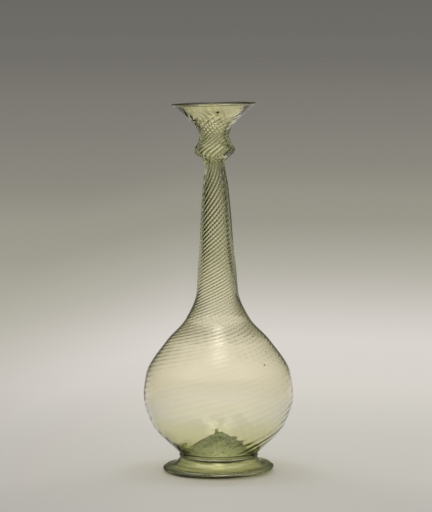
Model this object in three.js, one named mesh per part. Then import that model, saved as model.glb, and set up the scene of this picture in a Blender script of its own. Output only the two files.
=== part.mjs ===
// A ribbed glass bottle: one blown vessel, twisted while hot, on a foot of glass that was added to it.
// Millimetres, +Z up. The origin is on the surface that the bottle stands on, at the middle of the foot.
import * as THREE from "three";

// Main sizes. The others below are taken from them.
const bottleHeight = 250;
const jointHeight = 11;
const bellyRadius = 50.9;
const neckRadius = 14;
const collarRadius = 13.6;
const mouthRadius = 28.4;
const jointRadius = 24.8;

// Climb from each of the vessel's stations to the next one up, as shares of the whole climb.
const lowerBellyRiseShare = 22;
const bellyRiseShare = 19;
const upperBellyRiseShare = 14.5;
const shoulderRiseShare = 22.5;
const neckRootRiseShare = 14.5;
const neckFootRiseShare = 18.5;
const neckLowerRiseShare = 15;
const neckMiddleRiseShare = 12.5;
const neckUpperRiseShare = 45;
const neckTopRiseShare = 13.8;
const collarUndersideRiseShare = 7.2;
const collarRiseShare = 3.3;
const waistRiseShare = 8.8;
const throatRiseShare = 9;
const funnelRiseShare = 4.4;
const lipRiseShare = 7.7;

// Outer radii at the stations, as shares of the main radius nearest to them.
const lowerBellyShare = 0.89;
const upperBellyShare = 0.963;
const shoulderShare = 0.686;
const neckRootShare = 0.428;
const neckLowerShare = 0.921;
const neckMiddleShare = 0.829;
const neckUpperShare = 0.6;
const neckTopShare = 0.464;
const collarUndersideShare = 0.831;
const waistShare = 0.713;
const throatShare = 0.514;
const funnelShare = 0.687;

// Wall of the vessel.
const jointWall = 2.6;
const bellyWall = 1.2;
const shoulderWall = 1.3;
const neckWall = 1.6;
const collarWall = 1.8;
const lipWall = 1.5;

// Ribs, which the gather took from a dip mould. The angle is how steeply a rib climbs, seen from the side.
const ribCount = 20;
const pointsPerRib = 2;
const jointRibDepth = 0.16;
const bellyRibDepth = 0.03;
const shoulderRibDepth = 0.1;
const neckRibDepth = 0.16;
const collarRibDepth = 0.32;
const throatRibDepth = 0.18;
const lipRibDepth = 0.03;
const jointRibAngle = 36;
const bellyRibAngle = 14;
const shoulderRibAngle = 11.5;
const neckRootRibAngle = 18;
const neckLowerRibAngle = 30;
const neckMiddleRibAngle = 36;
const neckUpperRibAngle = 62;
const neckTopRibAngle = 77;
const collarRibAngle = 35;
const waistRibAngle = 40;
const neckFootRibAngle = 25.5;
const throatRibAngle = 34;

// Lean: the hot neck sank a little to one side, more and more towards the mouth.
const mouthLean = 3.5;
const leanPower = 1.7;

// Kick: the vessel's bottom, pushed up into a ribbed cone.
const kickRadius = 21.6;
const kickHeight = 14.4;
const kickTipRadius = 3.2;
const kickTipDrop = 0.7;
const kickKneeRadius = 10.4;
const kickKneeDrop = 4.8;
const kickWall = 2.3;
const kickRibDepth = 0.4;
const kickTurn = 1.6;
const heelThickness = 3.1;
const heelDrop = 1.3;

// Foot: a second gather, drawn out into a splayed ring with a rolled hem.
const seatClearance = 0.3;
const footBeadRise = 0.9;
const footBeadRadius = 27;
const footHemRadius = 37.6;
const footHemThickness = 3.2;
const footHemWidth = 3.4;
const footHemFlatWidth = 1.7;
const footWall = 2.4;
const footBoreRadius = 20.6;
const footSegments = 52;

// Scar of broken glass where the working rod was knocked off, under the tip of the kick.
const scarRadius = 6.4;
const scarThickness = 1.5;
const scarRoughness = 0.35;
const scarSegments = 20;

// Spacing of the rings of facets.
const ribStepAngle = 18;
const outerRingSpan = 13;
const innerRingSpan = 11;
const lipSteps = 4;
const walkSteps = 3000;

const glass = {
  vessel: new THREE.MeshStandardMaterial({ color: 0xc9cba0, roughness: 0.05, metalness: 0 }),
  foot: new THREE.MeshStandardMaterial({ color: 0x9aa35c, roughness: 0.06, metalness: 0 }),
  scar: new THREE.MeshStandardMaterial({ color: 0x8f9a63, roughness: 0.35, metalness: 0 }),
};

// A smooth curve through points that never swings past them, as a function of the first coordinate.
function fairCurve(points) {
  const gaps = points.slice(1).map(([x], i) => x - points[i][0]);
  const slopes = points.slice(1).map(([, y], i) => (y - points[i][1]) / gaps[i]);
  const tangents = points.map((_, i) => {
    if (i === 0) return slopes[0];
    if (i === slopes.length) return slopes[i - 1];
    if (slopes[i - 1] * slopes[i] <= 0) return 0;
    const before = 2 * gaps[i] + gaps[i - 1];
    const after = gaps[i] + 2 * gaps[i - 1];
    return (before + after) / (before / slopes[i - 1] + after / slopes[i]);
  });
  return (x) => {
    const at = points.findLastIndex(([start]) => start <= x);
    const span = Math.min(points.length - 2, Math.max(0, at));
    const t = Math.min(1, Math.max(0, (x - points[span][0]) / gaps[span]));
    const rest = 1 - t;
    return (
      points[span][1] * (1 + 2 * t) * rest * rest +
      tangents[span] * gaps[span] * t * rest * rest +
      points[span + 1][1] * (3 - 2 * t) * t * t -
      tangents[span + 1] * gaps[span] * rest * t * t
    );
  };
}

// The vessel's stations, from the joint with the foot up to the lip. Each holds its rise, outer radius,
// wall, rib depth and rib angle.
const stations = [
  [0, jointRadius, jointWall, jointRibDepth, jointRibAngle],
  [lowerBellyRiseShare, bellyRadius * lowerBellyShare, null, null, null],
  [bellyRiseShare, bellyRadius, bellyWall, bellyRibDepth, bellyRibAngle],
  [upperBellyRiseShare, bellyRadius * upperBellyShare, null, null, null],
  [shoulderRiseShare, bellyRadius * shoulderShare, shoulderWall, shoulderRibDepth, shoulderRibAngle],
  [neckRootRiseShare, bellyRadius * neckRootShare, null, null, neckRootRibAngle],
  [neckFootRiseShare, neckRadius, neckWall, neckRibDepth, neckFootRibAngle],
  [neckLowerRiseShare, neckRadius * neckLowerShare, null, null, neckLowerRibAngle],
  [neckMiddleRiseShare, neckRadius * neckMiddleShare, null, null, neckMiddleRibAngle],
  [neckUpperRiseShare, neckRadius * neckUpperShare, null, null, neckUpperRibAngle],
  [neckTopRiseShare, neckRadius * neckTopShare, neckWall, neckRibDepth, neckTopRibAngle],
  [collarUndersideRiseShare, collarRadius * collarUndersideShare, null, null, null],
  [collarRiseShare, collarRadius, collarWall, collarRibDepth, collarRibAngle],
  [waistRiseShare, collarRadius * waistShare, null, null, waistRibAngle],
  [throatRiseShare, mouthRadius * throatShare, null, throatRibDepth, throatRibAngle],
  [funnelRiseShare, mouthRadius * funnelShare, null, null, null],
  [lipRiseShare, mouthRadius, lipWall, lipRibDepth, throatRibAngle],
];
const leanSlope = (mouthLean * leanPower) / (bottleHeight - jointHeight);
const lipHeight = bottleHeight - lipWall / 2 - leanSlope * mouthRadius;
const climbOf = (count) => stations.slice(0, count).reduce((sum, [rise]) => sum + rise, 0);
const heights = stations.map(
  (_, i) => jointHeight + ((lipHeight - jointHeight) * climbOf(i + 1)) / climbOf(stations.length),
);

// One column of the stations as a curve over the height, skipping the stations that leave it open.
const column = (k) => {
  const points = heights.map((z, i) => [z, stations[i][k]]);
  return fairCurve(points.filter(([, value]) => value !== null));
};
const outerRadius = column(1);
const wallAt = column(2);
const ribDepth = column(3);
const ribAngle = column(4);

// Turn of the ribs in radians for each millimetre of height.
const twistRate = (z) => 1 / (outerRadius(z) * Math.tan(THREE.MathUtils.degToRad(ribAngle(z))));

const walkStep = (lipHeight - jointHeight) / walkSteps;
const twistSums = [0];
for (let i = 0; i < walkSteps; i += 1) {
  twistSums.push(twistSums[i] + twistRate(jointHeight + (i + 1 / 2) * walkStep) * walkStep);
}
const twistAt = (z) => {
  const place = Math.min(walkSteps, Math.max(0, (z - jointHeight) / walkStep));
  const below = Math.min(walkSteps - 1, Math.floor(place));
  return twistSums[below] + (twistSums[below + 1] - twistSums[below]) * (place - below);
};

// Heights for the rings of facets: close where the ribs turn fast, and never further apart than the span.
function ringHeights(span, stepAngle) {
  const found = [jointHeight];
  let due = 0;
  for (let i = 1; i < walkSteps; i += 1) {
    const z = jointHeight + i * walkStep;
    const climb = Math.hypot(walkStep, outerRadius(z) - outerRadius(z - walkStep));
    due += climb / span + (twistRate(z) * walkStep) / THREE.MathUtils.degToRad(stepAngle);
    if (due >= 1) {
      found.push(z);
      due -= 1;
    }
  }
  return found;
}

const slopeAt = (z) => (outerRadius(z + walkStep) - outerRadius(z - walkStep)) / (2 * walkStep);
const innerRadius = (z) => outerRadius(z) - wallAt(z) * Math.hypot(1, slopeAt(z));

// Moves a point with the leaning axis and tips its level ring with it.
function leaned(point) {
  const share = Math.max(0, (point.z - jointHeight) / (bottleHeight - jointHeight));
  const tip = leanSlope * share ** (leanPower - 1);
  return new THREE.Vector3(point.x - mouthLean * share ** leanPower, point.y, point.z + tip * point.x);
}

// Points of one level ring. Even points lie on the ribs and odd points between them.
const vesselPoints = ribCount * pointsPerRib;
const ribPitchAngle = (2 * Math.PI) / ribCount;
function vesselRing(radius, height, turn, ribOut = 0, ribUp = 0) {
  return Array.from({ length: vesselPoints }, (_, i) => {
    const angle = (2 * Math.PI * i) / vesselPoints + turn;
    const crest = Math.cos((2 * Math.PI * i) / pointsPerRib);
    const r = radius + ribOut * crest;
    return new THREE.Vector3(r * Math.cos(angle), r * Math.sin(angle), height + ribUp * crest);
  });
}

// A closed surface through rings of points. A ring of one point is a pole, and a loop joins its last ring
// to its first.
function surfaceThrough(rings, loop = false) {
  const corners = [];
  const face = (a, b, c) => corners.push(...a.toArray(), ...b.toArray(), ...c.toArray());
  const bands = loop ? rings.length : rings.length - 1;
  for (let k = 0; k < bands; k += 1) {
    const lower = rings[k];
    const upper = rings[(k + 1) % rings.length];
    const count = Math.max(lower.length, upper.length);
    for (let i = 0; i < count; i += 1) {
      const j = (i + 1) % count;
      if (lower.length === 1) face(lower[0], upper[i], upper[j]);
      else if (upper.length === 1) face(lower[i], upper[0], lower[j]);
      else if (lower[j].distanceTo(upper[i]) <= lower[i].distanceTo(upper[j])) {
        face(lower[i], upper[i], lower[j]);
        face(upper[i], upper[j], lower[j]);
      } else {
        face(lower[i], upper[i], upper[j]);
        face(lower[i], upper[j], lower[j]);
      }
    }
  }
  const geometry = new THREE.BufferGeometry();
  geometry.setAttribute("position", new THREE.Float32BufferAttribute(corners, 3));
  return geometry;
}

// The inside of the vessel's floor: a round trough at the wall, and the kick that rises from it to its tip.
const troughHeight = jointHeight - heelDrop + heelThickness;
const kickTipHeight = troughHeight + kickHeight;
const kickTop = fairCurve([
  [0, kickTipHeight],
  [kickTipRadius, kickTipHeight - kickTipDrop],
  [kickKneeRadius, kickTipHeight - kickKneeDrop],
  [kickRadius, troughHeight],
]);
const kickSlope = Math.hypot(1, (kickHeight - kickKneeDrop) / (kickRadius - kickKneeRadius));
const kickUnderside = (r) => kickTop(r) - kickWall * kickSlope;
const heelRadius = kickRadius + heelDrop;
const heelHeight = jointHeight - heelDrop;
const kickRadiiShares = [0.1, 0.22, 0.36, 0.5, 0.64, 0.78, 0.9, 0.97];
const kickTurnAt = (r) => (kickTurn * (kickRadius - r)) / kickRadius;
const kickRibAt = (r) => kickRibDepth * Math.sin(Math.PI * Math.sqrt(Math.min(1, r / kickRadius)));

function vesselGeometry() {
  const totalTurn = twistAt(lipHeight);
  const wholeRibs = Math.floor(totalTurn / ribPitchAngle) * ribPitchAngle;
  const lipTurn = totalTurn - wholeRibs;
  const lipRound = lipWall / 2;
  const lipOut = mouthRadius - lipRound;
  const innerFloor = troughHeight + jointWall / 2;
  const belowLip = (z) => z < lipHeight - lipWall;
  const insideHeights = ringHeights(innerRingSpan, 360).filter((z) => z > innerFloor && belowLip(z));
  const outsideHeights = ringHeights(outerRingSpan, ribStepAngle).filter(belowLip);
  const insideTurn = (z) => (lipTurn * (z - troughHeight)) / (lipHeight - troughHeight);
  const rings = [[new THREE.Vector3(0, 0, kickTipHeight)]];
  for (const share of kickRadiiShares) {
    const r = kickRadius * share;
    rings.push(vesselRing(r, kickTop(r), kickTurnAt(r), 0, kickRibAt(r)));
  }
  rings.push(vesselRing(kickRadius + (innerRadius(innerFloor) - kickRadius) / 3, troughHeight, 0));
  rings.push(vesselRing(innerRadius(innerFloor), innerFloor, insideTurn(innerFloor)));
  for (const z of insideHeights) rings.push(vesselRing(innerRadius(z), z, insideTurn(z)));
  for (let k = 0; k <= lipSteps; k += 1) {
    const around = (Math.PI * k) / lipSteps;
    const height = lipHeight + lipRound * Math.sin(around);
    rings.push(vesselRing(lipOut - lipRound * Math.cos(around), height, lipTurn));
  }
  for (const z of outsideHeights.reverse()) {
    rings.push(vesselRing(outerRadius(z), z, twistAt(z) - wholeRibs, ribDepth(z)));
  }
  rings.push(vesselRing((jointRadius + heelRadius) / 2, heelHeight + heelDrop / 4, -wholeRibs));
  rings.push(vesselRing(heelRadius, heelHeight, -wholeRibs));
  for (const share of [...kickRadiiShares].reverse()) {
    const r = kickRadius * share;
    rings.push(vesselRing(r, kickUnderside(r), kickTurnAt(r) - wholeRibs, 0, kickRibAt(r)));
  }
  rings.push([new THREE.Vector3(0, 0, kickUnderside(0))]);
  return surfaceThrough(rings.map((ring) => ring.map(leaned)));
}

// The foot in section, once round: the seat under the vessel's heel, the bead, the splayed wall, the hem
// and the underside.
function footGeometry() {
  const seatTop = jointHeight + footBeadRise;
  const seatRadius = outerRadius(seatTop) + jointRibDepth + seatClearance;
  const hemTop = footHemThickness;
  const hemInner = footHemRadius - footHemWidth;
  const hemMiddle = footHemRadius - footHemWidth / 2;
  const hemRound = footHemThickness / 2;
  const seatHeight = heelHeight - seatClearance;
  const boreHeight = Math.min(seatHeight, kickUnderside(footBoreRadius) - kickRibDepth - seatClearance);
  const splayRise = seatTop - hemTop;
  const splayRun = hemMiddle - footBeadRadius;
  const outline = [
    [footBoreRadius, boreHeight],
    [heelRadius, seatHeight],
    [(jointRadius + heelRadius) / 2 + seatClearance, heelHeight + heelDrop / 4 - seatClearance],
    [jointRadius + jointRibDepth + seatClearance, jointHeight - seatClearance],
    [seatRadius, seatTop],
    [(seatRadius + footBeadRadius) / 2, seatTop + footBeadRise / 3],
    [footBeadRadius, seatTop - footBeadRise / 2],
    [footBeadRadius + splayRun * 0.04, hemTop + splayRise * 0.66],
    [footBeadRadius + splayRun * 0.22, hemTop + splayRise * 0.42],
    [footBeadRadius + splayRun * 0.5, hemTop + splayRise * 0.2],
    [footBeadRadius + splayRun * 0.78, hemTop + splayRise * 0.06],
    [hemMiddle, hemTop],
    [footHemRadius - footHemWidth * 0.12, hemTop - hemRound * 0.45],
    [footHemRadius, hemRound],
    [footHemRadius - footHemWidth * 0.1, hemRound * 0.5],
    [hemMiddle + footHemFlatWidth / 2, 0],
    [hemMiddle - footHemFlatWidth / 2, 0],
    [hemInner, hemRound * 0.7],
    [hemInner - footWall / 2, hemRound * 1.1],
    [footBeadRadius + splayRun * 0.3 - footWall / 2, hemTop + splayRise * 0.3 - footWall / 2],
    [footBeadRadius - footWall, hemTop + splayRise * 0.5 - footWall / 2],
    [heelRadius, seatHeight - footWall],
    [footBoreRadius + footWall / 2, seatHeight - footWall],
    [footBoreRadius, seatHeight - footWall / 2],
  ];
  const rings = outline.map(([r, z]) =>
    Array.from({ length: footSegments }, (_, i) => {
      const angle = (2 * Math.PI * i) / footSegments;
      return new THREE.Vector3(r * Math.cos(angle), r * Math.sin(angle), z);
    }),
  );
  return surfaceThrough(rings, true);
}

// The scar fills the tip of the kick from below and ends in a rough, broken face.
function scarGeometry() {
  const crown = kickUnderside(0) - seatClearance - kickRibDepth;
  const shares = [0.3, 0.6, 0.85, 1];
  const roof = (r) => kickUnderside(r) - seatClearance - kickRibDepth;
  const floor = roof(scarRadius) - scarThickness;
  const ring = (r, heightAt) =>
    Array.from({ length: scarSegments }, (_, i) => {
      const angle = (2 * Math.PI * i) / scarSegments;
      return new THREE.Vector3(r * Math.cos(angle), r * Math.sin(angle), heightAt(angle));
    });
  const chipped = (share, angle) => Math.sin(3 * angle + 5 * share) * Math.cos(2 * angle);
  const broken = (share) => (angle) => floor + scarRoughness * chipped(share, angle);
  const rings = [[new THREE.Vector3(0, 0, crown)]];
  for (const share of shares) rings.push(ring(scarRadius * share, () => roof(scarRadius * share)));
  for (const share of [...shares].reverse()) rings.push(ring(scarRadius * share, broken(share)));
  rings.push([new THREE.Vector3(0, 0, floor)]);
  return surfaceThrough(rings);
}

function piece(name, geometry, material) {
  const mesh = new THREE.Mesh(geometry, material);
  mesh.name = name;
  return mesh;
}

const bottle = new THREE.Group();
bottle.add(
  piece("vessel", vesselGeometry(), glass.vessel),
  piece("foot", footGeometry(), glass.foot),
  piece("pontil_scar", scarGeometry(), glass.scar),
);
export default bottle;
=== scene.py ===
"""A long-necked bottle of ribbed, twisted glass on a splayed foot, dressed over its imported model.

Sizes are in millimetres and become metres where a mesh is made. +Z is up, and the camera looks along +Y.
"""

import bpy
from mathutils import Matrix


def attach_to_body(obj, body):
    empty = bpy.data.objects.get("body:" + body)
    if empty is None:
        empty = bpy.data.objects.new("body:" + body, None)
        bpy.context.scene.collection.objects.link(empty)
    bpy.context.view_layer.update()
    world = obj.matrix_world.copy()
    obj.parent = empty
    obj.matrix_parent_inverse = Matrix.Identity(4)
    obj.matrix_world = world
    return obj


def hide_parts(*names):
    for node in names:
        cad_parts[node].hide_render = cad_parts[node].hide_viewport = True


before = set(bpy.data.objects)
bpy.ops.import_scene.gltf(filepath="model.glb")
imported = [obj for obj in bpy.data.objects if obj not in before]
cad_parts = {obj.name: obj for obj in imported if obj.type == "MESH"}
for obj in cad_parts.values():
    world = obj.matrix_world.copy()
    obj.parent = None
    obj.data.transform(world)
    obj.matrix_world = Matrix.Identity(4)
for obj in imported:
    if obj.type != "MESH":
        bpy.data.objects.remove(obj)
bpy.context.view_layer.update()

import bisect
import logging
import math
import random
from dataclasses import dataclass
from enum import Enum
from typing import Any, Callable, NamedTuple, Optional, Sequence, Union

import bpy
from bpy.types import Material, Mesh, Node, NodeSocket, NodeTree, Object, World
from mathutils import Vector

log = logging.getLogger("bottle")

MM = 0.001
TURN = 2 * math.pi
Colour = tuple[float, float, float]
Pair = tuple[float, float]
Pairs = Sequence[Pair]
Row = Sequence[float]
Operand = Union["Figure", float, int]


class Ray(Enum):
    """Kinds of ray that a stage material tells apart."""

    SHADOW = "Is Shadow Ray"
    DIFFUSE_DEPTH = "Diffuse Depth"
    DEPTH = "Ray Depth"


class Side(Enum):
    """Sides of the camera's view, as the sign of the camera's own X."""

    LEFT = -1
    RIGHT = 1


def placed(name: str, data: Any) -> Object:
    """Adds an object with its data to the scene, and returns it.

    Args:
        name: the object's name.
        data: its mesh, lamp or camera.

    Returns:
        The object, at the origin.
    """
    thing = bpy.data.objects.new(name, data)
    bpy.context.scene.collection.objects.link(thing)
    return thing


class NodeSheet:
    """A node tree with one way to add a node."""

    def __init__(self, tree: NodeTree) -> None:
        """Wraps the tree that the nodes go into."""
        self.tree = tree

    @classmethod
    def blank(cls, owner: Union[Material, World]) -> "NodeSheet":
        """Empties the nodes of a material or a world, and wraps their tree."""
        owner.use_nodes = True
        owner.node_tree.nodes.clear()
        return cls(owner.node_tree)

    def add(self, kind: str, settings: Optional[dict[str, Any]] = None, **sockets: Any) -> Node:
        """Adds a node, sets its properties, then fills its sockets.

        Args:
            kind: the node's type.
            settings: properties that are set before any socket is used.
            **sockets: values or links by socket name, with underscores for spaces, or in0, in1 by place.

        Returns:
            The new node.
        """
        node = self.tree.nodes.new(kind)
        for key, value in (settings or {}).items():
            setattr(node, key, value)
        for key, value in sockets.items():
            place = key[2:] if key.startswith("in") and key[2:].isdigit() else None
            self.fill(node.inputs[int(place) if place else key.replace("_", " ")], value)
        return node

    def fill(self, socket: NodeSocket, value: Any) -> None:
        """Links a socket to a figure, a socket or a node's first output, or else sets its value.

        Args:
            socket: the input.
            value: what goes into it.
        """
        if isinstance(value, Figure):
            value = value.socket
        elif isinstance(value, Node):
            value = value.outputs[0]
        if isinstance(value, NodeSocket):
            self.tree.links.new(value, socket)
        else:
            socket.default_value = value

    def maths(self, operation: str, *operands: Operand) -> "Figure":
        """Adds one Math node.

        Args:
            operation: what it does.
            *operands: its inputs.

        Returns:
            Its result.
        """
        node = self.add("ShaderNodeMath", {"operation": operation})
        for socket, value in zip(node.inputs, operands):
            self.fill(socket, value)
        return Figure(self, node.outputs[0])

    def split(self, vector: Any) -> list["Figure"]:
        """The X, Y and Z of a vector."""
        node = self.add("ShaderNodeSeparateXYZ", in0=vector)
        return [Figure(self, socket) for socket in node.outputs]

    def blend(self, factor: Operand, low: Any, high: Any, kind: str = "MIX") -> NodeSocket:
        """Mixes two colours, or sockets of colours.

        Args:
            factor: the share of the second one.
            low: the first.
            high: the second.
            kind: how they mix.

        Returns:
            The mixed colour's socket.
        """
        node = self.add("ShaderNodeMix", {"data_type": "RGBA", "blend_type": kind})
        for place, value in ((0, factor), (6, low), (7, high)):
            self.fill(node.inputs[place], value)
        return node.outputs[2]

    def ramp(self, factor: Operand, stops: Sequence[tuple[float, Row]]) -> Node:
        """Adds a colour ramp that runs straight from stop to stop.

        Args:
            factor: the place along the ramp, from 0 to 1.
            stops: place and linear colour of each stop.

        Returns:
            The ramp's node.
        """
        node = self.add("ShaderNodeValToRGB", in0=factor)
        stays = node.color_ramp.elements
        stays.remove(stays[-1])
        for index, (place, colour) in enumerate(stops):
            stop = stays.new(place) if index else stays[0]
            stop.position, stop.color = place, (*colour, 1)
        return node


def arithmetic(operation: str, reflected: bool = False) -> Callable[["Figure", Operand], "Figure"]:
    """Makes a method of Figure that adds one Math node.

    Args:
        operation: the node's operation.
        reflected: whether the other operand comes first.

    Returns:
        The method.
    """

    def method(figure: "Figure", other: Operand) -> "Figure":
        """The figure and another operand put together."""
        return figure.sheet.maths(operation, *((other, figure) if reflected else (figure, other)))

    return method


class Figure:
    """A number in a node tree. Arithmetic on it adds Math nodes."""

    __add__ = __radd__ = arithmetic("ADD")
    __sub__, __rsub__ = arithmetic("SUBTRACT"), arithmetic("SUBTRACT", True)
    __mul__ = __rmul__ = arithmetic("MULTIPLY")
    __truediv__, __rtruediv__ = arithmetic("DIVIDE"), arithmetic("DIVIDE", True)
    __pow__ = arithmetic("POWER")
    at_least, at_most, above = arithmetic("MAXIMUM"), arithmetic("MINIMUM"), arithmetic("GREATER_THAN")

    def __init__(self, sheet: NodeSheet, socket: NodeSocket) -> None:
        """Wraps an output on the sheet that holds a number."""
        self.sheet, self.socket = sheet, socket

    def __neg__(self) -> "Figure":
        """Negative."""
        return self * -1.0

    def of(self, operation: str) -> "Figure":
        """A Math node's result for this number alone."""
        return self.sheet.maths(operation, self)

    def clamped(self) -> "Figure":
        """The nearest number from 0 to 1."""
        return self.at_least(0.0).at_most(1.0)


class FairCurve:
    """A smooth curve through points that never swings past them."""

    def __init__(self, points: Pairs) -> None:
        """Works out the slopes at the points.

        Args:
            points: place and value of each, in order of place.
        """
        self.places = [place for place, _ in points]
        self.values = [value for _, value in points]
        gaps = [b - a for a, b in zip(self.places, self.places[1:])]
        slopes = [(b - a) / gap for a, b, gap in zip(self.values, self.values[1:], gaps)]
        self.tangents = [slopes[0]]
        for i in range(1, len(slopes)):
            if slopes[i - 1] * slopes[i] <= 0:
                self.tangents.append(0.0)
                continue
            before, after = 2 * gaps[i] + gaps[i - 1], gaps[i] + 2 * gaps[i - 1]
            self.tangents.append((before + after) / (before / slopes[i - 1] + after / slopes[i]))
        self.tangents.append(slopes[-1])

    def __call__(self, place: float) -> float:
        """Reads the curve, which stays level past its ends.

        Args:
            place: where it is read.

        Returns:
            The value there.
        """
        i = min(max(bisect.bisect_right(self.places, place) - 1, 0), len(self.places) - 2)
        gap = self.places[i + 1] - self.places[i]
        t = min(1.0, max(0.0, (place - self.places[i]) / gap))
        u = 1 - t
        return (
            self.values[i] * (1 + 2 * t) * u * u
            + self.tangents[i] * gap * t * u * u
            + self.values[i + 1] * (3 - 2 * t) * t * t
            - self.tangents[i + 1] * gap * u * t * t
        )


class Ring(NamedTuple):
    """One ring of a gather's section, in millimetres and radians."""

    radius: float
    height: float
    relief: float = 0.0
    turn: float = 0.0
    phase: float = 0.0
    out: float = 1.0
    up: float = 0.0
    hand: float = 1.0


class GrowTree:
    """A Geometry Nodes tree that grows a piece from a seed mesh."""

    NAME: str
    INPUTS: dict[str, tuple[str, Any]]

    def __init__(self) -> None:
        """Builds the tree once; each piece then sets its own inputs."""
        self.tree = bpy.data.node_groups.new(self.NAME, "GeometryNodeTree")
        self.sheet = NodeSheet(self.tree)
        self.sockets: dict[str, str] = {}
        for name, (kind, value) in self.INPUTS.items():
            socket = self.tree.interface.new_socket(name=name, in_out="INPUT", socket_type="NodeSocket" + kind)
            if value is not None:
                socket.default_value = value
            self.sockets[name] = socket.identifier
        self.tree.interface.new_socket(name="Piece", in_out="OUTPUT", socket_type="NodeSocketGeometry")
        given = self.sheet.add("NodeGroupInput").outputs
        self.entry = {socket.name: Figure(self.sheet, socket) for socket in given if socket.name}
        real = self.sheet.add("GeometryNodeRealizeInstances", Geometry=self._lay_out())
        dressed = self.sheet.add("GeometryNodeSetMaterial", Geometry=real, Material=self.entry["Finish"])
        self.sheet.add("NodeGroupOutput", in0=dressed)

    def _lay_out(self) -> Node:
        """Adds the tree's own nodes and returns the last of them."""
        raise NotImplementedError

    def grow(self, name: str, seed: Mesh, inputs: dict[str, Any]) -> Object:
        """Runs the tree on a mesh and keeps the result as a plain mesh.

        Args:
            name: the finished piece's name.
            seed: the mesh that the tree starts from.
            inputs: values by input name, with underscores for spaces.

        Returns:
            The finished piece, at the origin.
        """
        holder = placed(name + "_seed", seed)
        modifier = holder.modifiers.new("grow", "NODES")
        modifier.node_group = self.tree
        for key, value in inputs.items():
            modifier[self.sockets[key.replace("_", " ")]] = value
        graph = bpy.context.evaluated_depsgraph_get()
        mesh = bpy.data.meshes.new_from_object(holder.evaluated_get(graph), depsgraph=graph)
        holder.modifiers.remove(modifier)
        bpy.data.objects.remove(holder)
        bpy.data.meshes.remove(seed)
        mesh.name = name
        return placed(name, mesh)


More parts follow.
